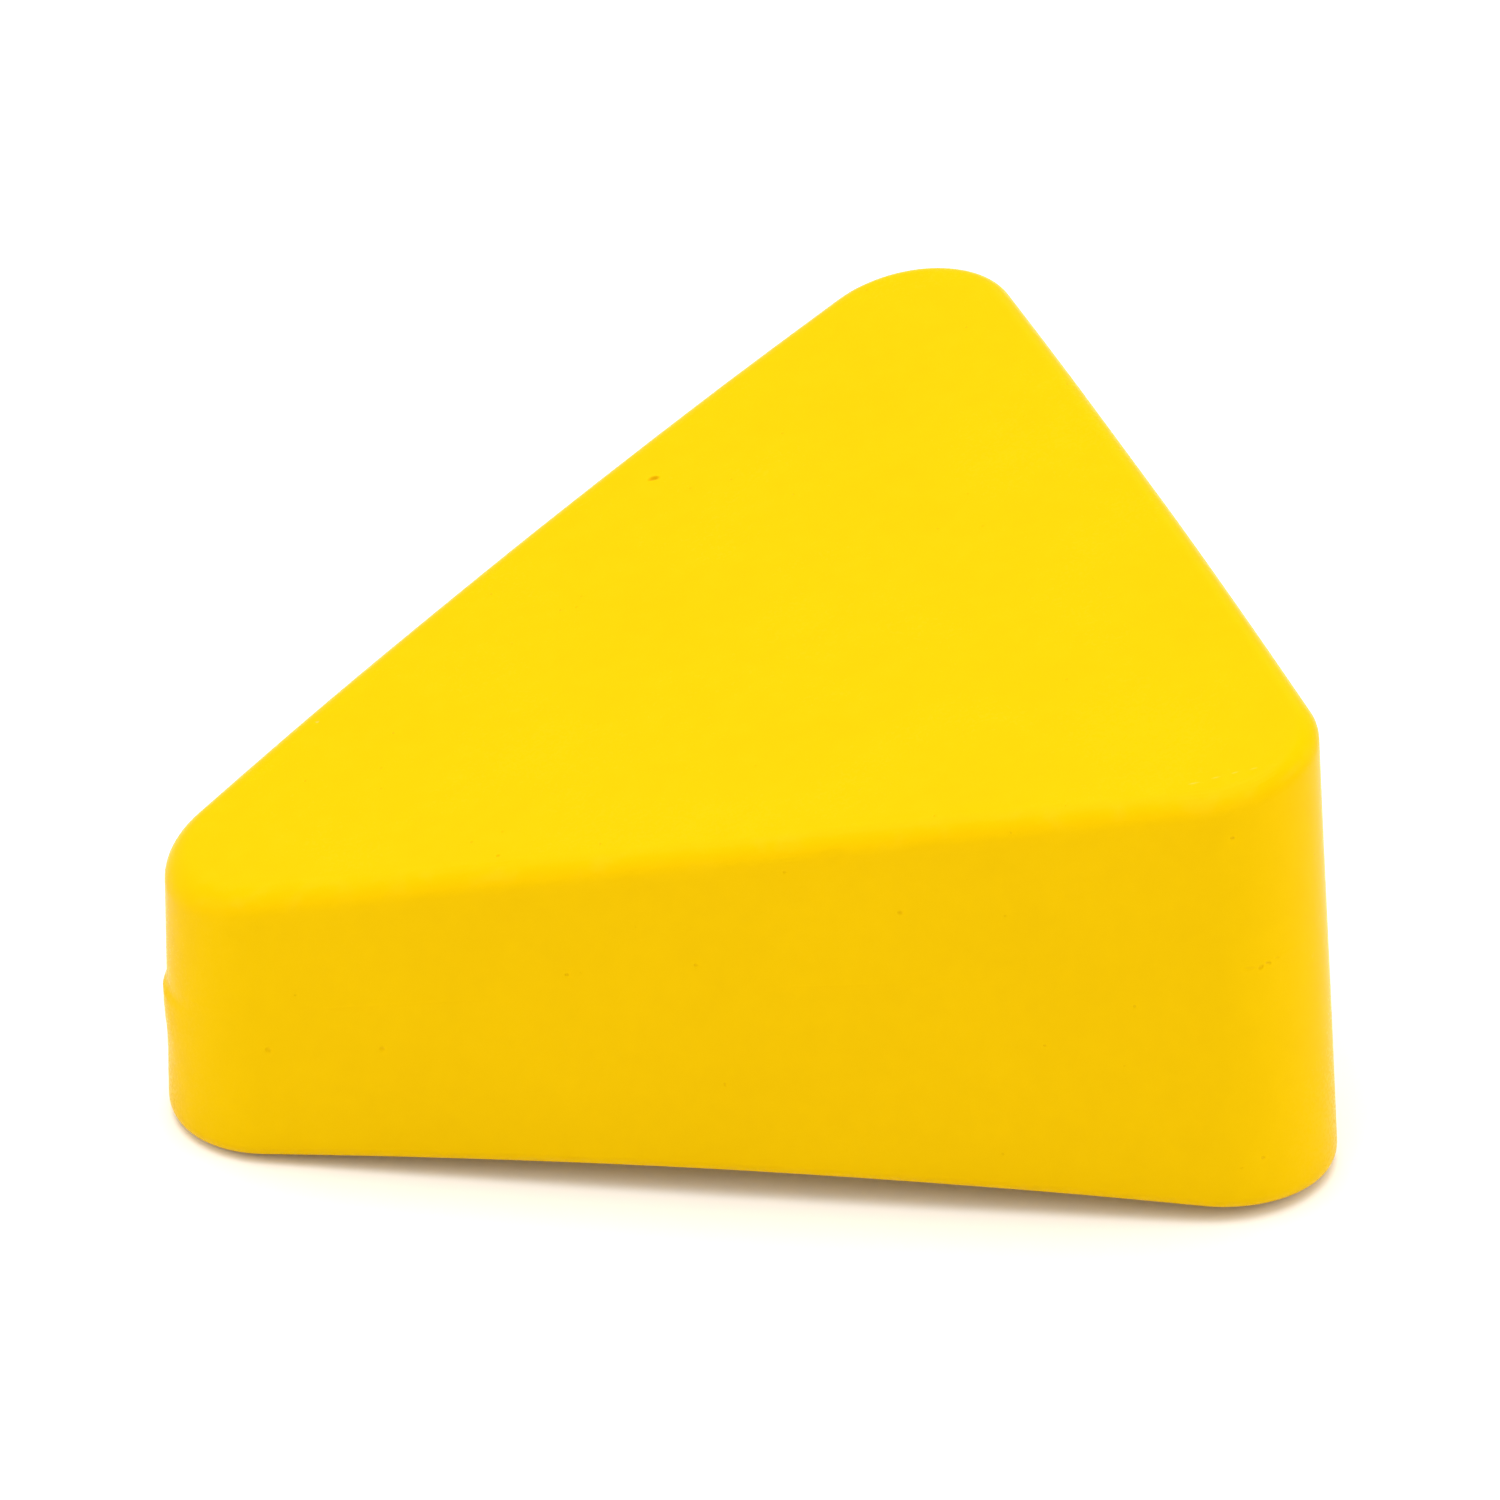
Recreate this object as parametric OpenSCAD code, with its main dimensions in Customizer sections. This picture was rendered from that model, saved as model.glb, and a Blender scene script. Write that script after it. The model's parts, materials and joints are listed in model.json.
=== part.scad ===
// Blunt three-cornered wedge, cast in one mould: a dense outer skin round a cellular core.
// +X runs from the thin tip to the thick heel, +Y across the heel and +Z up from the base.
// The origin is on the base, half way between the tip and the heel face.

/* [Wedge] */
// Length from the tip to the heel face
wedge_len = 72; // [60:1:100]
// Width across the heel
heel_w = 76; // [60:1:100]
// Thickness at the tip
tip_t = 19.5; // [14:0.5:24]
// Thickness at the heel
heel_t = 34.5; // [28:0.5:45]

/* [Rounding] */
// Radius of the tip corner, seen from above
tip_r = 7.8; // [5:0.1:12]
// Radius of the two heel corners, seen from above
heel_r = 7.2; // [5:0.1:12]
// Radius that softens the edges of the base and of the sloping top
edge_r = 2.2; // [1.6:0.1:4]

/* [Skin] */
// Thickness of the dense skin round the cellular core
skin_t = 1.2; // [0.8:0.1:1.4]

/* [Vent nub] */
// Height of the trimmed vent nub on the tip
nub_h = 1.4; // [1:0.1:2.4]
// Width of the nub across the tip
nub_w = 2.4; // [1.6:0.1:4]
// How far the nub stands out of the tip
nub_proud = 0.45; // [0.2:0.05:0.5]

/* [Quality] */
// Facets in a full turn of a plan corner
corner_facets = 40; // [24:4:48]
// Facets in a full turn of a softened edge
edge_facets = 24; // [16:4:32]

/* [Hidden] */

skin_colour = "gold";
core_colour = "khaki";

tip_x = -wedge_len / 2;
heel_x = wedge_len / 2;
// Rise of the sloping top for each millimetre along X
slope = (heel_t - tip_t) / wedge_len;
// A thickness measured square to the top is this much more when it is measured upright
upright = sqrt(1 + slope * slope);

// The three plan corners as [x, y, radius]: the tip, then the two ends of the heel
corners = [
  [tip_x + tip_r, 0, tip_r],
  [heel_x - heel_r, heel_r - heel_w / 2, heel_r],
  [heel_x - heel_r, heel_w / 2 - heel_r, heel_r],
];

// Height of the sloping top above the base at x
function top_z(x) = tip_t + slope * (x - tip_x);

// Leans everything up the slope of the top, and leaves its outline seen from above as it is
module along_slope() {
  multmatrix([[1, 0, 0, 0], [0, 1, 0, 0], [slope, 0, 1, 0]]) children();
}

// Rounded rim of one corner: a ring of round section, resting on z = 0
module corner_rim(radius, round_r) {
  translate([0, 0, round_r])
    rotate_extrude($fn = corner_facets)
      translate([radius - round_r, 0])
        circle(r = round_r, $fn = edge_facets);
}

// The wedge with every face moved inwards by inset
module wedge_body(inset) {
  round_r = edge_r - inset;
  hull() {
    for (corner = corners) {
      translate([corner[0], corner[1], inset])
        corner_rim(corner[2] - inset, round_r);
      translate([corner[0], corner[1], top_z(corner[0]) - inset * upright])
        along_slope()
          mirror([0, 0, 1])
            corner_rim(corner[2] - inset, round_r);
    }
  }
}

// Stub that is left where the mould's vent was trimmed off, half way up the tip
module vent_nub() {
  translate([tip_x + nub_h / 2 - nub_proud, 0, tip_t / 2])
    rotate([90, 0, 0])
      cylinder(d = nub_h, h = nub_w, center = true, $fn = 32);
}

// Dense closed skin with the vent nub on its tip
module outer_skin() {
  color(skin_colour)
    difference() {
      union() {
        wedge_body(0);
        vent_nub();
      }
      wedge_body(skin_t);
    }
}

// Cellular core, which fills the skin from wall to wall
module foam_core() {
  color(core_colour)
    wedge_body(skin_t);
}

outer_skin();
foam_core();
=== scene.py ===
"""The looks of a blunt, three-cornered felling wedge cast in yellow self-skinning foam.

All lengths are in metres. +X runs from the tip to the heel and +Z up from the base. The outline
is the same on both sides of the plane y = 0. The wedge is first made straight, with its marks in
it, and then bent and settled as the real casting has cooled.
"""
import json
import math
import random

import bmesh
import bpy
import numpy as np
from mathutils import Matrix, Vector, kdtree, noise
from mathutils.bvhtree import BVHTree


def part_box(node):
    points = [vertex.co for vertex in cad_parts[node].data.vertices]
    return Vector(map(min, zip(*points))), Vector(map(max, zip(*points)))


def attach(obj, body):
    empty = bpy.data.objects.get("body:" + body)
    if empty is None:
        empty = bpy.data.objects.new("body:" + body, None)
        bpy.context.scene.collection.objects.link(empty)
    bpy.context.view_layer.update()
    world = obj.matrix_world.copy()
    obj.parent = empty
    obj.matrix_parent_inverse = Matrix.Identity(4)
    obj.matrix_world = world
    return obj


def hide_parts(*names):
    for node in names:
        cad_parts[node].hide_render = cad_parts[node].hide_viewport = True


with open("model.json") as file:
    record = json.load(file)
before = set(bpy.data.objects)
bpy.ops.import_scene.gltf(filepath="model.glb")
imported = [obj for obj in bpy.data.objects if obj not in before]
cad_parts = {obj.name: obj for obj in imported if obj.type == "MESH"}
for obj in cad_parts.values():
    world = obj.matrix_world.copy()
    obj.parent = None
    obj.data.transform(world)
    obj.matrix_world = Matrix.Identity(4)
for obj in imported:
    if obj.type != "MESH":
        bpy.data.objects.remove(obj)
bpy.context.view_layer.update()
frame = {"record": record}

MM = 0.001

# ---------------------------------------------------------------- sizes read from the frame

mounts = {mount["name"]: mount for mount in frame["record"]["mounts"]}
skin_low, skin_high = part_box("outer_skin")
core_low, core_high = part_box("foam_core")

SKIN_T = core_low.z - skin_low.z
HALF_WIDTH = skin_high.y
HEEL_X = skin_high.x
TIP_X = core_low.x - SKIN_T
NUB_PROUD = TIP_X - skin_low.x
MID_X = (TIP_X + HEEL_X) / 2
HALF_LENGTH = (HEEL_X - TIP_X) / 2

top_axis = mounts["top_face"]["axis"]
top_point = mounts["top_face"]["pos_m"]
TOP_SLOPE = -top_axis[0] / top_axis[2]

# ---------------------------------------------------------------- shape of the casting

# The outer surface lies this far inside the CAD solid's
CLEARANCE = 0.02 * MM
TIP_R = 8.3 * MM
HEEL_R = 8.2 * MM
TOP_EDGE_R = 1.75 * MM
BASE_EDGE_R = 1.35 * MM

# The walls lean in by this much from the base to the top, so that the casting leaves its mould
DRAFT = 0.66 * MM

# The cast body is bowed along its length: its middle stands this much higher than its ends
TOP_BOW = 0.6 * MM
BASE_BOW = 1.75 * MM
# The middles of its long sides and of its heel swell out by this much
SIDE_SWELL = 0.5 * MM
HEEL_SWELL = 0.27 * MM

# Shrinkage leaves the skin faintly uneven, up to this deep
UNEVEN = 0.07 * MM
UNEVEN_SIZE = 17 * MM

# Where the mould halves met, as a share of the walls' straight height, and its witness line
SEAM_SHARE = 0.6
SEAM_HALF = 0.15 * MM
SEAM_PROUD = 0.018 * MM
SEAM_PATCH = 9 * MM
# The witness line fades out where its patch noise falls through this span
SEAM_FADE = (-0.1, 0.4)
# A vertex is on a wall if its normal rises or falls by less than this
WALL_LEAN = 0.3

# Trimmed vent nub on the tip, just under the seam: sharp above and tapered below. Its top, peak and
# end are heights above the seam, so they are negative.
NUB_RISE = 0.64 * NUB_PROUD
NUB_Y = 1.0 * MM
NUB_HALF_WIDTH = 4.2 * MM
NUB_TOP = -0.8 * MM
NUB_PEAK = -1.25 * MM
NUB_END = -6.2 * MM
# Torn flash on the tip, below the nub
FLASH_PROUD = 0.04 * MM
FLASH_SIZE = 0.7 * MM
FLASH_END = -10 * MM

# Segments of the mesh: along half a straight side, half a corner, an edge rounding and a wall
SIDE_SEGMENTS = 40
CORNER_SEGMENTS = 26
ROUND_SEGMENTS = 9
WALL_SEGMENTS = 64
# Wall rings crowd towards the seam by this power
RING_CROWDING = 1.4
# Vertices closer than this are one
WELD = 1e-7

# ---------------------------------------------------------------- camera and light

CAM_AZIMUTH = -17.2
CAM_ELEVATION = 31.15
CAM_ROLL = -2.42
CAM_LENS = 354
CAM_SENSOR = 36
CAM_NEAR = 0.01
CAM_FAR = 100
# Share of the frame's width that the wedge takes, and how far its middle stands above the frame's
FRAME_FILL = 0.783
FRAME_RAISE = 0.0084
FRAMING_PASSES = 6

WORLD_STRENGTH = 0.75
# Name, place, size and power of each soft light
LIGHTS = [
    ("overhead", (0, 0, 4.0), 3.6, 114),
    ("back", (0.2, 1.9, 3.5), 2.2, 22),
    ("left", (-3.2, 0.4, 1.4), 2.0, 18),
    ("right_front", (3.2, -1.4, 1.4), 1.6, 32),
]

# ---------------------------------------------------------------- the plan outline


def top_z(x):
    """Height of the sloping top face above the base."""
    return top_point[2] + TOP_SLOPE * (x - top_point[0])


def arc(centre, radius, start, end):
    """Points and outward directions of half a corner, from angle start to angle end."""
    angles = np.linspace(start, end, CORNER_SEGMENTS + 1)
    out = np.column_stack([np.cos(angles), np.sin(angles)])
    return centre + radius * out, out


def straight(start, end, out, swell, share_from, share_to):
    """Points of half a side, with its outward direction. The shares say which half it is."""
    steps = np.linspace(0, 1, SIDE_SEGMENTS + 1)[:, None]
    share = share_from + (share_to - share_from) * steps
    points = start + (end - start) * steps + out * swell * 4 * share * (1 - share)
    return points, np.repeat(out[None, :], SIDE_SEGMENTS + 1, axis=0)


def side_tangents(from_circle, to_circle):
    """Outward direction of the side that touches two corner circles, and where it touches them."""
    (c0, r0), (c1, r1) = from_circle, to_circle
    gap = c1 - c0
    length = np.linalg.norm(gap)
    along = gap / length
    across = np.array([along[1], -along[0]])
    tilt = (r0 - r1) / length
    out = across * math.sqrt(1 - tilt * tilt) + along * tilt
    return out, c0 + r0 * out, c1 + r1 * out


def plan_outline(offset):
    """The plan of the base, moved inwards by offset, in six runs that go round anticlockwise.

    A run goes from a side's middle to a corner's middle, or from there to the next side's middle.
    Returns, for each corner, its two runs of (points, outward directions).
    """
    heel_centre_x = HEEL_X - HEEL_SWELL - HEEL_R
    circles = [
        (np.array([TIP_X + TIP_R, 0.0]), TIP_R - offset),
        (np.array([heel_centre_x, HEEL_R - HALF_WIDTH]), HEEL_R - offset),
        (np.array([heel_centre_x, HALF_WIDTH - HEEL_R]), HEEL_R - offset),
    ]
    swells = (SIDE_SWELL, HEEL_SWELL, SIDE_SWELL)
    sides = [side_tangents(circles[i], circles[(i + 1) % 3]) for i in range(3)]
    runs = []
    for i, (centre, radius) in enumerate(circles):
        out_before, before_start, arrive = sides[i - 1]
        out_after, leave, after_end = sides[i]
        start = math.atan2(out_before[1], out_before[0])
        end = math.atan2(out_after[1], out_after[0])
        end += 2 * math.pi * (end < start)
        middle = (start + end) / 2
        before_mid = (before_start + arrive) / 2
        after_mid = (leave + after_end) / 2
        line_in, line_in_out = straight(before_mid, arrive, out_before, swells[i - 1], 0.5, 1.0)
        arc_in, arc_in_out = arc(centre, radius, start, middle)
        arc_away, arc_away_out = arc(centre, radius, middle, end)
        line_away, line_away_out = straight(leave, after_mid, out_after, swells[i], 0.0, 0.5)
        runs.append((
            (np.vstack([line_in, arc_in[1:]]), np.vstack([line_in_out, arc_in_out[1:]])),
            (np.vstack([arc_away, line_away[1:]]), np.vstack([arc_away_out, line_away_out[1:]])),
        ))
    return runs


def closed_outline(offset):
    """The whole outline as one ring of points, with the outward direction at each."""
    runs = [run for pair in plan_outline(offset) for run in pair]
    points = np.vstack([run[0][:-1] for run in runs])
    out = np.vstack([run[1][:-1] for run in runs])
    return points, out


# ---------------------------------------------------------------- the straight body as a mesh


def coons_patch(bottom, right, top, left):
    """A square grid of points that fills four boundary runs of equal length."""
    count = len(bottom)
    u = np.linspace(0, 1, count)[:, None, None]
    v = np.linspace(0, 1, count)[None, :, None]
    ruled_v = (1 - v) * bottom[:, None, :] + v * top[:, None, :]
    ruled_u = (1 - u) * left[None, :, :] + u * right[None, :, :]
    corners = (
        (1 - u) * (1 - v) * bottom[0]
        + u * (1 - v) * bottom[-1]
        + (1 - u) * v * top[0]
        + u * v * top[-1]
    )
    return ruled_v + ruled_u - corners


def add_grid(bm, points):
    """Adds a grid of points, as an array of rows, with a quad in each cell."""
    rows = [[bm.verts.new(point) for point in row] for row in points]
    for lower, upper in zip(rows, rows[1:]):
        for i in range(len(lower) - 1):
            bm.faces.new((lower[i], lower[i + 1], upper[i + 1], upper[i]))


def cap(bm, offset, height_of):
    """Fills an outline with three square patches that meet in the middle."""
    runs = plan_outline(offset)
    centre = np.array([(TIP_X + 2 * HEEL_X) / 3, 0.0])
    share = np.linspace(0, 1, len(runs[0][0][0]))[:, None]
    for (run_in, _), (run_out, _) in runs:
        left = run_in[0] + (centre - run_in[0]) * share
        top = centre + (run_out[-1] - centre) * share
        patch = coons_patch(run_in, run_out, top, left)
        add_grid(bm, np.dstack([patch, height_of(patch[:, :, 0])]))


def body_rings(inset):
    """Closed rings of points from the rim of the base, up the wall, to the rim of the top."""
    base_r = BASE_EDGE_R - inset
    top_r = TOP_EDGE_R - inset
    outline, out = closed_outline(inset)
    turns = np.linspace(0, math.pi / 2, ROUND_SEGMENTS + 1)
    rings = []
    for turn in turns:
        plan = outline - out * base_r * (1 - math.sin(turn))
        height = np.full(len(plan), inset + base_r * (1 - math.cos(turn)))
        rings.append(np.column_stack([plan, height]))
    low = inset + base_r
    high = top_z(outline[:, 0]) - inset - top_r
    for step in np.linspace(-1, 1, WALL_SEGMENTS + 1)[1:-1]:
        reach = (1 - SEAM_SHARE) if step > 0 else -SEAM_SHARE
        share = SEAM_SHARE + reach * abs(step) ** RING_CROWDING
        plan = outline - out * DRAFT * share
        rings.append(np.column_stack([plan, low + (high - low) * share]))
    for turn in turns[::-1]:
        plan = outline - out * (DRAFT + top_r * (1 - math.sin(turn)))
        height = top_z(plan[:, 0]) - inset - top_r * (1 - math.cos(turn))
        rings.append(np.column_stack([plan, height]))
    return np.array(rings)


def cast_body(inset):
    """The straight wedge, each face moved inwards by inset, as one closed mesh of quads."""
    bm = bmesh.new()
    rings = body_rings(inset)
    add_grid(bm, np.concatenate([rings, rings[:, :1]], axis=1))
    cap(bm, BASE_EDGE_R, lambda x: np.full_like(x, inset))
    cap(bm, TOP_EDGE_R + DRAFT, lambda x: top_z(x) - inset)
    bmesh.ops.remove_doubles(bm, verts=bm.verts, dist=WELD)
    bmesh.ops.recalc_face_normals(bm, faces=bm.faces)
    return bm


# ---------------------------------------------------------------- seam and nub


def ramp(value, zero, one):
    """0 before zero, 1 past one, and smooth between them."""
    share = min(max((value - zero) / (one - zero), 0), 1)
    return share * share * (3 - 2 * share)


def seam_z(x):
    """Height of the seam at a place along the wedge."""
    wall = top_z(x) - TOP_EDGE_R - BASE_EDGE_R
    return BASE_EDGE_R + wall * SEAM_SHARE


def seam_height(place, above):
    """How far the witness line stands out. It is trimmed flush in patches."""
    patch = ramp(noise.noise(place / SEAM_PATCH), *SEAM_FADE)
    return SEAM_PROUD * patch * math.exp(-(above / SEAM_HALF) ** 2)


def nub_height(place, above):
    """How far the trimmed vent nub and the flash below it stand out of the tip."""
    across = abs(place.y - NUB_Y) / NUB_HALF_WIDTH
    if place.x > TIP_X + TIP_R or across > 1:
        return 0
    swell = 0.5 + 0.5 * math.cos(math.pi * across)
    body = ramp(above, NUB_TOP, NUB_PEAK) * ramp(above, NUB_END, NUB_PEAK)
    torn = max(noise.noise(place / FLASH_SIZE), 0) * ramp(above, FLASH_END, NUB_END)
    return swell * (NUB_RISE * body + FLASH_PROUD * torn * ramp(above, NUB_TOP, NUB_PEAK))


def raise_seam(bm):
    """Adds the witness line and the nub to the walls."""
    bm.normal_update()
    moves = []
    for vert in bm.verts:
        above = vert.co.z - seam_z(vert.co.x)
        rise = 0
        if abs(vert.normal.z) < WALL_LEAN:
            rise = seam_height(vert.co, above) + nub_height(vert.co, above)
        moves.append(vert.normal * rise)
    for vert, move in zip(bm.verts, moves):
        vert.co += move


# ---------------------------------------------------------------- pits and scuffs


def on_top(along, across):
    """A place on the top face, as a share of the length from the tip and of the half width."""
    x = TIP_X + along * (HEEL_X - TIP_X)
    return Vector((x, across * HALF_WIDTH, top_z(x)))


def on_wall(bearing, up):
    """A place on the walls, by its bearing from the origin in degrees and its share of the height."""
    points, _ = closed_outline(CLEARANCE)
    angles = np.degrees(np.arctan2(points[:, 1], points[:, 0]))
    order = np.argsort(angles)
    x, y = (np.interp(bearing, angles[order], points[order, axis]) for axis in (0, 1))
    return Vector((x, y, up * top_z(x)))


def mark(place, length, width, depth=0, painted_shade=0, pale=0, heading=0):
    """A pit or a scuff: its size in millimetres, how much its hollow is painted darker as shade, how pale
    a scuff is, and its heading in degrees.
    """
    return {
        "place": place,
        "half": (length / 2 * MM, width / 2 * MM),
        "depth": depth * MM,
        "painted_shade": painted_shade,
        "pale": pale,
        "heading": math.radians(heading),
    }


PINHOLE = {"length": 0.34, "width": 0.26, "depth": 0.05}

# A mark's darkening is painted shade in its hollow; its paleness is the real paleness of a scuff or chip.
SEEN_MARKS = [
    # one long pit on the top, near its back edge
    mark(on_top(0.59, 0.59), 0.86, 0.56, depth=0.2, painted_shade=0.5, heading=-20),
    # pinholes on the top, low down towards the tip
    mark(on_top(0.276, -0.34), **PINHOLE, painted_shade=0.3),
    mark(on_top(0.262, -0.27), 0.26, 0.22, depth=0.03, painted_shade=0.18),
    mark(on_top(0.227, 0.05), 0.3, 0.24, depth=0.03, painted_shade=0.08),
    # pinholes on the long side that the seam crosses
    mark(on_wall(-166.5, 0.43), 0.45, 0.6, depth=0.06, painted_shade=0.15),
    mark(on_wall(-155, 0.42), 0.5, 0.45, depth=0.05, painted_shade=0.14),
    mark(on_wall(-127, 0.65), **PINHOLE, painted_shade=0.1),
    mark(on_wall(-104.5, 0.66), **PINHOLE, painted_shade=0.12),
    mark(on_wall(-90.5, 0.92), 0.26, 0.2, depth=0.04, painted_shade=0.1),
    mark(on_wall(-77, 0.78), 0.42, 0.3, depth=0.06, painted_shade=0.14),
    mark(on_wall(-100.5, 0.29), 0.2, 0.42, depth=0.05, painted_shade=0.12, heading=20),
    mark(on_wall(-65.5, 0.41), 0.24, 0.2, depth=0.04, painted_shade=0.1),
    # pinholes and torn flash on the rounded corner of the heel
    mark(on_wall(-55, 0.9), **PINHOLE, painted_shade=0.12),
    mark(on_wall(-53.5, 0.13), **PINHOLE, painted_shade=0.12),
    mark(on_wall(-54.1, 0.585), 1.0, 0.22, depth=0.03, painted_shade=0.06, heading=-8),
    mark(on_wall(-53.2, 0.577), 0.5, 0.3, depth=0.06, painted_shade=0.16, heading=30),
    mark(on_wall(-52.6, 0.581), 0.6, 0.24, depth=0.05, painted_shade=0.12, heading=-20),
    mark(on_wall(-51.8, 0.585), 0.5, 0.2, depth=0.03, painted_shade=0.06),
    # a shallow dent under the top's long edge, its colour painted a little darker as shade
    mark(on_wall(-84.2, 0.955), 2.6, 1.5, depth=0.04, painted_shade=0.03, heading=15),
    # rubs along the top's long edge, near the heel, and one chip on its back edge
    mark(on_top(0.848, -0.905), 1.0, 0.18, pale=0.4, heading=-16),
    mark(on_top(0.868, -0.912), 0.8, 0.16, pale=0.35, heading=-14),
    mark(on_top(0.885, -0.918), 0.6, 0.18, pale=0.4, heading=-12),
    mark(on_top(0.902, -0.926), 0.7, 0.16, pale=0.35, heading=-10),
    mark(on_top(0.199, 0.262), 0.32, 0.28, depth=0.05, pale=0.7),
]

# Pinholes on the faces turned away from the camera, drawn at random within these spans. Sizes are
# in millimetres, headings and bearings in degrees, and heights are shares of the wall's.
HIDDEN_PINHOLES = 26
HIDDEN_SEED = 7
HIDDEN_SIZES = (0.2, 0.45)
# Width as a share of length
HIDDEN_ASPECTS = (0.6, 1)
HIDDEN_HEADINGS = (0, 180)
HIDDEN_BEARINGS = (-44, 165)
HIDDEN_HEIGHTS = (0.12, 0.9)
# How much each pinhole's colour is painted darker as shade in its hollow
HIDDEN_PAINTED_SHADES = (0.08, 0.2)
# Their depth, as a share of their size
HIDDEN_DEPTH = 0.18


def hidden_marks():
    """Pinholes on the heel and on the far long side."""
    draw = random.Random(HIDDEN_SEED)
    marks = []
    for _ in range(HIDDEN_PINHOLES):
        size = draw.uniform(*HIDDEN_SIZES)
        width = size * draw.uniform(*HIDDEN_ASPECTS)
        heading = draw.uniform(*HIDDEN_HEADINGS)
        place = on_wall(draw.uniform(*HIDDEN_BEARINGS), draw.uniform(*HIDDEN_HEIGHTS))
        painted_shade = draw.uniform(*HIDDEN_PAINTED_SHADES)
        depth = size * HIDDEN_DEPTH
        marks.append(mark(place, size, width, depth=depth, painted_shade=painted_shade, heading=heading))
    return marks


# Each halving of the mesh reaches this far past a mark's rim, until its edges are fine enough
REFINE_MARGINS = [margin * MM for margin in (2.2, 1.2, 0.7, 0.4, 0.25)]
EDGES_PER_HALF_WIDTH = 3.5

# A mark is at full strength within this share of its size
MARK_MIDDLE = 0.35
# Its rim wanders by this share, in lumps of this many half widths
MARK_WANDER = 0.2
MARK_LUMP = 1.5
# No mark acts further out than this many of its half lengths
MARK_REACH = 1.3
# A face steeper than this, by the rise of its normal, takes headings from the level
STEEP_RISE = 0.7


def wants_halving(edge, tree, marks, margin):
    """Whether an edge is near a mark and still too long for it."""
    middle = (edge.verts[0].co + edge.verts[1].co) / 2
    _, index, far = tree.find(middle)
    half_length, half_width = marks[index]["half"]
    return far < half_length + margin and edge.calc_length() > half_width / EDGES_PER_HALF_WIDTH


def mark_share(item, place):
    """How strongly a mark acts at a place: 1 over its middle, 0 past its rim."""
    normal = item["normal"]
    level = Vector((-normal.y, normal.x, 0)) if abs(normal.z) < STEEP_RISE else Vector((1, 0, 0))
    level = (level - normal * level.dot(normal)).normalized()
    upright = normal.cross(level)
    long_axis = level * math.cos(item["heading"]) + upright * math.sin(item["heading"])
    half_length, half_width = item["half"]
    gap = place - item["place"]
    along = gap.dot(long_axis) / half_length
    across = gap.dot(normal.cross(long_axis)) / half_width
    wander = 1 + MARK_WANDER * noise.noise(place / (half_width * MARK_LUMP))
    return ramp(math.hypot(along, across) * wander, 1, MARK_MIDDLE)


def press_marks(bm, marks):
    """Refines the mesh round the marks, presses them in and notes in its layers the painted shade of
    their hollows and the paleness of scuffs.
    """
    surface = BVHTree.FromBMesh(bm)
    tree = kdtree.KDTree(len(marks))
    for index, item in enumerate(marks):
        item["place"], item["normal"], _, _ = surface.find_nearest(item["place"])
        tree.insert(item["place"], index)
    tree.balance()
    for margin in REFINE_MARGINS:
        edges = [edge for edge in bm.edges if wants_halving(edge, tree, marks, margin)]
        bmesh.ops.subdivide_edges(bm, edges=edges, cuts=1, use_grid_fill=True)
    pit = bm.verts.layers.float["pit"]
    scuff = bm.verts.layers.float["scuff"]
    reach = MARK_REACH * max(item["half"][0] for item in marks)
    for vert in bm.verts:
        place = vert.co.copy()
        for _, index, _ in tree.find_range(place, reach):
            item = marks[index]
            share = mark_share(item, place)
            vert.co -= item["normal"] * item["depth"] * share
            # The pit layer holds painted shade for the hollow, the scuff layer the scuff's paleness
            vert[pit] = max(vert[pit], item["painted_shade"] * share)
            vert[scuff] = max(vert[scuff], item["pale"] * share)


# ---------------------------------------------------------------- how the casting has cooled


def cool(bm, unevenness):
    """Shrinks the skin a little unevenly and bows the wedge along its length."""
    flat_half = HALF_LENGTH - BASE_EDGE_R
    bm.normal_update()
    moves = []
    for vert in bm.verts:
        dent = unevenness * (0.5 + 0.5 * noise.noise(vert.co / UNEVEN_SIZE))
        along = (vert.co.x - MID_X) / flat_half
        share_up = vert.co.z / top_z(vert.co.x)
        rise = BASE_BOW + (TOP_BOW - BASE_BOW) * share_up
        moves.append(Vector((0, 0, rise * (1 - along * along))) - vert.normal * dent)
    for vert, move in zip(bm.verts, moves):
        vert.co += move


def lower(bm, drop):
    """Sets a mesh down by the given height."""
    for vert in bm.verts:
        vert.co.z -= drop


def note_edges(bm):
    """Notes how far each vertex is round an edge: 1 half way round, and 0 where it is upright."""
    layer = bm.verts.layers.float["edge"]
    bm.normal_update()
    for vert in bm.verts:
        lean = min(abs(vert.normal.z), 1)
        vert[layer] = 4 * lean * lean * (1 - lean * lean)


def piece_from(bm, name, material):
    """Makes the mesh an object on the root body, smooth shaded, with its material."""
    mesh = bpy.data.meshes.new(name)
    bm.to_mesh(mesh)
    bm.free()
    mesh.shade_smooth()
    mesh.materials.append(material)
    piece = bpy.data.objects.new(name, mesh)
    bpy.context.scene.collection.objects.link(piece)
    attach(piece, "root")
    return piece


# ---------------------------------------------------------------- material helpers


def new_material(name):
    """A node material with only its output, and a maker of nodes in it."""
    material = bpy.data.materials.new(name)
    material.use_nodes = True
    tree = material.node_tree
    tree.nodes.clear()

    def add(kind, inputs=None, **settings):
        """Adds a node. An input is a constant or another node's socket."""
        made = tree.nodes.new(kind)
        for key, value in settings.items():
            setattr(made, key, value)
        for key, value in (inputs or {}).items():
            if isinstance(value, bpy.types.NodeSocket):
                tree.links.new(value, made.inputs[key])
            else:
                made.inputs[key].default_value = value
        return made

    return material, add


def noise_at(add, place, size, detail=2.0, roughness=0.5):
    """Noise from 0 to 1 whose lumps are about the given size."""
    inputs = {"Vector": place, "Scale": 1 / size, "Detail": detail, "Roughness": roughness}
    return add("ShaderNodeTexNoise", inputs).outputs["Fac"]


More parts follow.
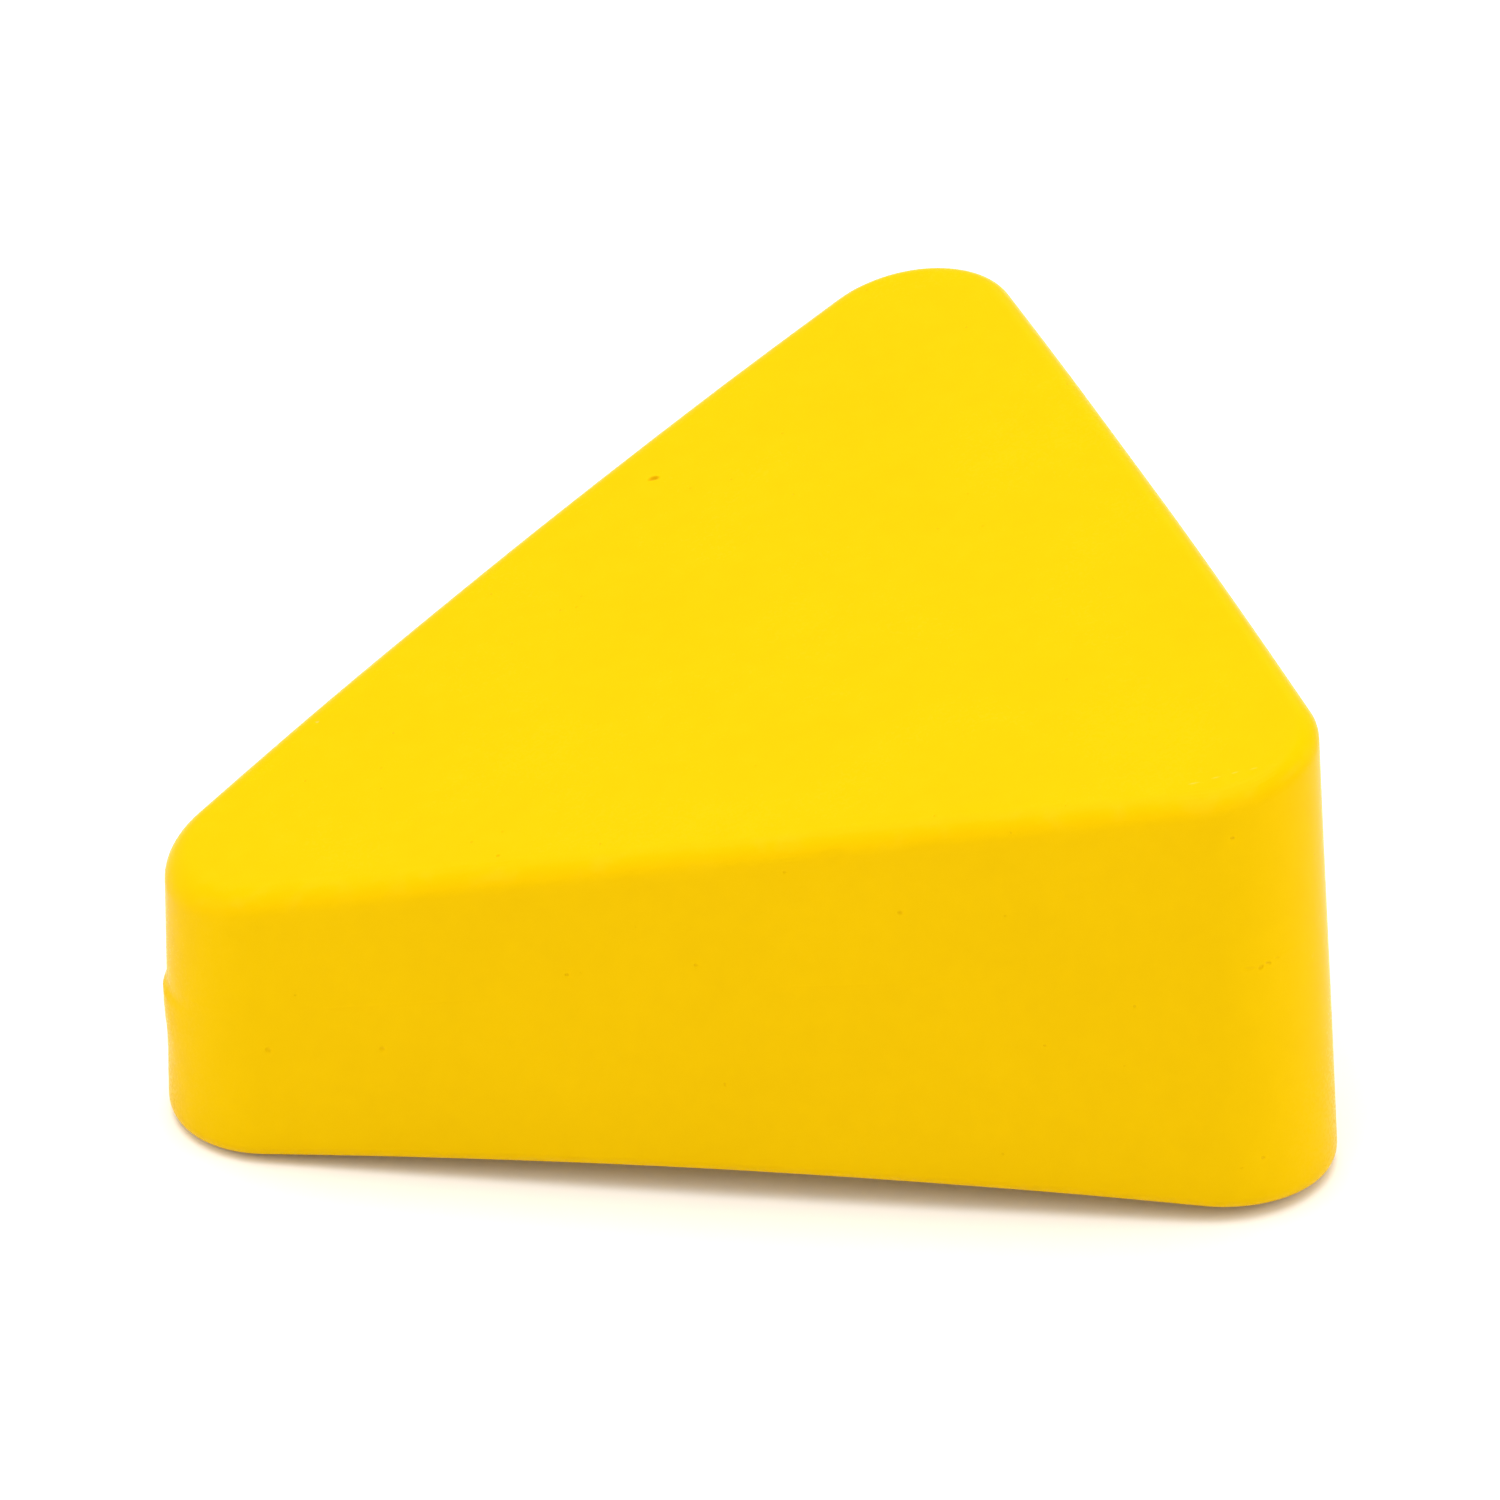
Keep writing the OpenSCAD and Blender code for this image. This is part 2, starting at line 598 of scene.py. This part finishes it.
def mapped(add, value, from_range, to_range, smooth=False):
    """A value carried from one range to another, and held at its ends."""
    inputs = {
        "Value": value,
        "From Min": from_range[0],
        "From Max": from_range[1],
        "To Min": to_range[0],
        "To Max": to_range[1],
    }
    kind = "SMOOTHSTEP" if smooth else "LINEAR"
    return add("ShaderNodeMapRange", inputs, interpolation_type=kind).outputs["Result"]


def maths(add, operation, first, second):
    """The result of one maths operation on two values."""
    node = add("ShaderNodeMath", {0: first, 1: second}, operation=operation)
    return node.outputs["Value"]


# The colour mix node's sockets for its two colours and for its result
MIX_FIRST = 6
MIX_SECOND = 7
MIX_RESULT = 2


def blend(add, factor, first, second):
    """Mixes two colours. Each is a socket or a red, green, blue triple."""
    colours = [c if isinstance(c, bpy.types.NodeSocket) else (*c, 1) for c in (first, second)]
    inputs = {"Factor": factor, MIX_FIRST: colours[0], MIX_SECOND: colours[1]}
    return add("ShaderNodeMix", inputs, data_type="RGBA").outputs[MIX_RESULT]


def attribute(add, name):
    """A value that the mesh holds at each vertex."""
    return add("ShaderNodeAttribute", attribute_name=name).outputs["Fac"]


def object_place(add):
    """The place on the piece, in metres, which is the same in every view."""
    return add("ShaderNodeTexCoord").outputs["Object"]


# ---------------------------------------------------------------- the skin's material

# Colours are linear red, green and blue
YELLOW_DEEP = (0.755, 0.457, 0.0)
YELLOW_PALE = (0.782, 0.482, 0.0)
# Painted shade for the hollows of pits and pores
PIT_PAINTED_SHADE = (0.500, 0.210, 0.0)
SCUFF_PALE = (0.850, 0.600, 0.120)
# A weak reflection: it shows only as a pale rim where the skin turns away from the eye
SKIN_SPECULAR = 0.016
CLOUD_SIZE = 15 * MM
MOTTLE_SIZE = 1.7 * MM
GRAIN_SIZE = 0.28 * MM
PORE_SPACING = 2.8 * MM
PORE_RADIUS = 0.11 * MM
# A pore is at full depth within this share of its radius
PORE_MIDDLE = 0.4
NOISE_DETAIL = 3
# How much of the grain's strength its finer layers keep
GRAIN_JAGGED = 0.6
# Noise stays mostly within this span, which is stretched over the whole range of what it sets
NOISE_SPAN = (0.3, 0.7)
# How much the clouds and the mottle each carry the yellow from deep to pale
CLOUD_SHADE = 0.6
MOTTLE_SHADE = 0.4
# Rounded edges are painted paler where the mottle rises through this span, partly as rubbing and partly
# as a painted highlight, and scuffs are broken by the grain
RUB_AND_HIGHLIGHT_SPAN = (0.5, 0.7)
RUB_AND_HIGHLIGHT_SHADE = 0.025
SCUFF_SPAN = (0.3, 0.6)
SCUFF_LEAST = 0.5
# How much a pore's colour is painted darker as shade
PORE_PAINTED_SHADE = 0.12
# Roughness runs over the first with the clouds, and grain and rubs add to it
CLOUD_ROUGH = (0.2, 0.26)
GRAIN_ROUGH = 0.05
RUB_ROUGH = 0.2
GRAIN_RISE = 0.006 * MM
MOTTLE_RISE = 0.010 * MM
PORE_SINK = 0.03 * MM


def skin_material():
    """Satin yellow moulded skin: clouded, finely grained, with pores and pits painted darker as shade,
    and edges painted paler, partly as rubbing and partly as a painted highlight.
    """
    material, add = new_material("skin_yellow")
    place = object_place(add)
    cloud = noise_at(add, place, CLOUD_SIZE, NOISE_DETAIL)
    mottle = noise_at(add, place, MOTTLE_SIZE, NOISE_DETAIL)
    grain = noise_at(add, place, GRAIN_SIZE, NOISE_DETAIL, GRAIN_JAGGED)
    pit = attribute(add, "pit")
    scuff = attribute(add, "scuff")
    edge = attribute(add, "edge")

    cells = add("ShaderNodeTexVoronoi", {"Vector": place, "Scale": 1 / PORE_SPACING})
    pore_rim = PORE_RADIUS / PORE_SPACING
    pore = mapped(add, cells.outputs["Distance"], (pore_rim * PORE_MIDDLE, pore_rim), (1, 0), smooth=True)

    cloud_shade = mapped(add, cloud, NOISE_SPAN, (0, CLOUD_SHADE))
    mottle_shade = mapped(add, mottle, NOISE_SPAN, (0, MOTTLE_SHADE))
    colour = blend(add, maths(add, "ADD", cloud_shade, mottle_shade), YELLOW_DEEP, YELLOW_PALE)
    # Painted highlight along the rounded edges, broken up like rubbing
    rub_and_highlight = mapped(add, mottle, RUB_AND_HIGHLIGHT_SPAN, (0, RUB_AND_HIGHLIGHT_SHADE), smooth=True)
    rubbed_and_highlit = maths(add, "MULTIPLY", edge, rub_and_highlight)
    scuffed = maths(add, "MULTIPLY", scuff, mapped(add, grain, SCUFF_SPAN, (SCUFF_LEAST, 1)))
    pale = maths(add, "MAXIMUM", scuffed, rubbed_and_highlit)
    colour = blend(add, pale, colour, SCUFF_PALE)
    # Pits and pores are painted darker: painted shade in their hollows
    painted_shade = maths(add, "MAXIMUM", pit, maths(add, "MULTIPLY", pore, PORE_PAINTED_SHADE))
    colour = blend(add, painted_shade, colour, PIT_PAINTED_SHADE)

    cloud_rough = mapped(add, cloud, NOISE_SPAN, CLOUD_ROUGH)
    grain_rough = mapped(add, grain, NOISE_SPAN, (0, GRAIN_ROUGH))
    rough = maths(add, "ADD", cloud_rough, grain_rough)
    rough = maths(add, "ADD", rough, maths(add, "MULTIPLY", pale, RUB_ROUGH))

    grain_rise = mapped(add, grain, (0, 1), (0, GRAIN_RISE))
    mottle_rise = mapped(add, mottle, (0, 1), (0, MOTTLE_RISE))
    pore_sink = maths(add, "MULTIPLY", pore, -PORE_SINK)
    rise = maths(add, "ADD", maths(add, "ADD", grain_rise, mottle_rise), pore_sink)
    bump = add("ShaderNodeBump", {"Strength": 1.0, "Distance": 1.0, "Height": rise})

    shader = add("ShaderNodeBsdfPrincipled", {
        "Base Color": colour,
        "Roughness": rough,
        "Specular IOR Level": SKIN_SPECULAR,
        "Normal": bump.outputs["Normal"],
    })
    add("ShaderNodeOutputMaterial", {"Surface": shader.outputs["BSDF"]})
    return material


# ---------------------------------------------------------------- the core's material

CELL_SIZE = 0.45 * MM
# The cells' sunken middles are painted this darker colour as shade, the walls this paler one
CORE_HOLLOW_SHADE = (0.560, 0.330, 0.030)
CORE_PALE = (0.860, 0.640, 0.160)
CORE_SPECULAR = 0.2
# A cell turns to wall where its distance from the cell's middle passes through this span
CELL_WALL_SPAN = (0.25, 0.65)
CELL_WALL_RISE = 0.12 * MM
CORE_CLOUD_SPAN = (0.35, 0.65)
CORE_CLOUD_SHADE = 0.25
# Roughness in a cell's middle and on its wall
CORE_ROUGH = (0.95, 0.82)


def core_material():
    """Open foam: round cells with paler walls, their sunken middles painted darker as shade."""
    material, add = new_material("core_foam")
    place = object_place(add)
    cells = add("ShaderNodeTexVoronoi", {"Vector": place, "Scale": 1 / CELL_SIZE})
    wall = mapped(add, cells.outputs["Distance"], CELL_WALL_SPAN, (0, 1), smooth=True)
    cloud = noise_at(add, place, CLOUD_SIZE, NOISE_DETAIL)
    colour = blend(add, wall, CORE_HOLLOW_SHADE, CORE_PALE)
    clouded = mapped(add, cloud, CORE_CLOUD_SPAN, (0, CORE_CLOUD_SHADE))
    colour = blend(add, clouded, colour, YELLOW_DEEP)
    rough = mapped(add, wall, (0, 1), CORE_ROUGH)
    rise = maths(add, "MULTIPLY", wall, CELL_WALL_RISE)
    bump = add("ShaderNodeBump", {"Strength": 1.0, "Distance": 1.0, "Height": rise})
    shader = add("ShaderNodeBsdfPrincipled", {
        "Base Color": colour,
        "Roughness": rough,
        "Specular IOR Level": CORE_SPECULAR,
        "Normal": bump.outputs["Normal"],
    })
    add("ShaderNodeOutputMaterial", {"Surface": shader.outputs["BSDF"]})
    return material


# ---------------------------------------------------------------- the pieces


def make_skin():
    """The cast skin with its seam, nub, pits and scuffs. Returns it and how far it was set down."""
    bm = cast_body(CLEARANCE)
    for layer in ("pit", "scuff", "edge"):
        bm.verts.layers.float.new(layer)
    raise_seam(bm)
    press_marks(bm, SEEN_MARKS + hidden_marks())
    cool(bm, UNEVEN)
    drop = min(vert.co.z for vert in bm.verts)
    lower(bm, drop)
    note_edges(bm)
    skin = piece_from(bm, "cast_skin", skin_material())
    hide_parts("outer_skin")
    return skin, drop


def make_core(drop):
    """The foam inside the skin, bent and set down with it."""
    bm = cast_body(SKIN_T)
    cool(bm, 0)
    lower(bm, drop)
    core = piece_from(bm, "cell_core", core_material())
    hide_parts("foam_core")


skin, lowest = make_skin()
make_core(lowest)

# ---------------------------------------------------------------- the stage


FLOOR_HALF = 40
FLOOR_CELLS = 8
FLOOR_PALE = (0.97, 0.97, 0.97)
FLOOR_DULL = (0.95, 0.95, 0.95)
FLOOR_ROUGH = (0.8, 0.9)
FLOOR_SPECULAR = 0.1


def floor_material():
    """Plain pale matte board."""
    material, add = new_material("floor_pale")
    cloud = noise_at(add, object_place(add), CLOUD_SIZE, 2)
    shader = add("ShaderNodeBsdfPrincipled", {
        "Base Color": blend(add, cloud, FLOOR_DULL, FLOOR_PALE),
        "Roughness": mapped(add, cloud, NOISE_SPAN, FLOOR_ROUGH),
        "Specular IOR Level": FLOOR_SPECULAR,
    })
    add("ShaderNodeOutputMaterial", {"Surface": shader.outputs["BSDF"]})
    return material


def make_floor():
    """A level floor, wide enough to reach far behind the wedge in a low view."""
    bm = bmesh.new()
    bmesh.ops.create_grid(bm, x_segments=FLOOR_CELLS, y_segments=FLOOR_CELLS, size=FLOOR_HALF)
    mesh = bpy.data.meshes.new("floor")
    bm.to_mesh(mesh)
    bm.free()
    mesh.materials.append(floor_material())
    floor = bpy.data.objects.new("floor", mesh)
    bpy.context.scene.collection.objects.link(floor)


def area_light(name, place, size, power):
    """A square soft light that faces the wedge."""
    data = bpy.data.lights.new(name, "AREA")
    data.shape = "SQUARE"
    data.size = size
    data.energy = power
    lamp = bpy.data.objects.new(name, data)
    lamp.location = place
    lamp.rotation_euler = (-Vector(place)).to_track_quat("-Z", "Y").to_euler()
    lamp.visible_camera = False
    bpy.context.scene.collection.objects.link(lamp)


def make_world(strength):
    """An even white surround."""
    world = bpy.data.worlds.new("studio")
    world.use_nodes = True
    background = world.node_tree.nodes["Background"]
    background.inputs["Color"].default_value = (1, 1, 1, 1)
    background.inputs["Strength"].default_value = strength
    bpy.context.scene.world = world


def make_camera(piece):
    """A long lens that sees the wedge from above one long side, with the tip to the left."""
    azimuth, elevation, roll = (math.radians(a) for a in (CAM_AZIMUTH, CAM_ELEVATION, CAM_ROLL))
    back = Vector((
        math.sin(azimuth) * math.cos(elevation),
        -math.cos(azimuth) * math.cos(elevation),
        math.sin(elevation),
    ))
    level = Vector((math.cos(azimuth), math.sin(azimuth), 0))
    upright = back.cross(level)
    right = level * math.cos(roll) + upright * math.sin(roll)
    up = upright * math.cos(roll) - level * math.sin(roll)
    seen = np.array([vert.co for vert in piece.data.vertices]) @ np.array((right, up, back)).T
    aim = (seen.max(0) + seen.min(0)) / 2
    distance = (seen[:, 0].max() - seen[:, 0].min()) / FRAME_FILL * CAM_LENS / CAM_SENSOR
    for _ in range(FRAMING_PASSES):
        depth = aim[2] + distance - seen[:, 2]
        across = (seen[:, 0] - aim[0]) / depth * CAM_LENS / CAM_SENSOR
        height = (seen[:, 1] - aim[1]) / depth * CAM_LENS / CAM_SENSOR
        width = distance * CAM_SENSOR / CAM_LENS
        aim[0] += width * (across.max() + across.min()) / 2
        aim[1] += width * ((height.max() + height.min()) / 2 - FRAME_RAISE)
        distance *= (across.max() - across.min()) / FRAME_FILL
    data = bpy.data.cameras.new("camera")
    data.sensor_width = CAM_SENSOR
    data.lens = CAM_LENS
    data.clip_start = CAM_NEAR
    data.clip_end = CAM_FAR
    camera = bpy.data.objects.new("camera", data)
    camera.location = right * aim[0] + up * aim[1] + back * (aim[2] + distance)
    camera.rotation_mode = "QUATERNION"
    camera.rotation_quaternion = Matrix((right, up, back)).transposed().to_quaternion()
    bpy.context.scene.collection.objects.link(camera)
    bpy.context.scene.camera = camera


make_floor()
make_world(WORLD_STRENGTH)
for light in LIGHTS:
    area_light(*light)
make_camera(skin)

bpy.context.scene.view_settings.view_transform = "Standard"
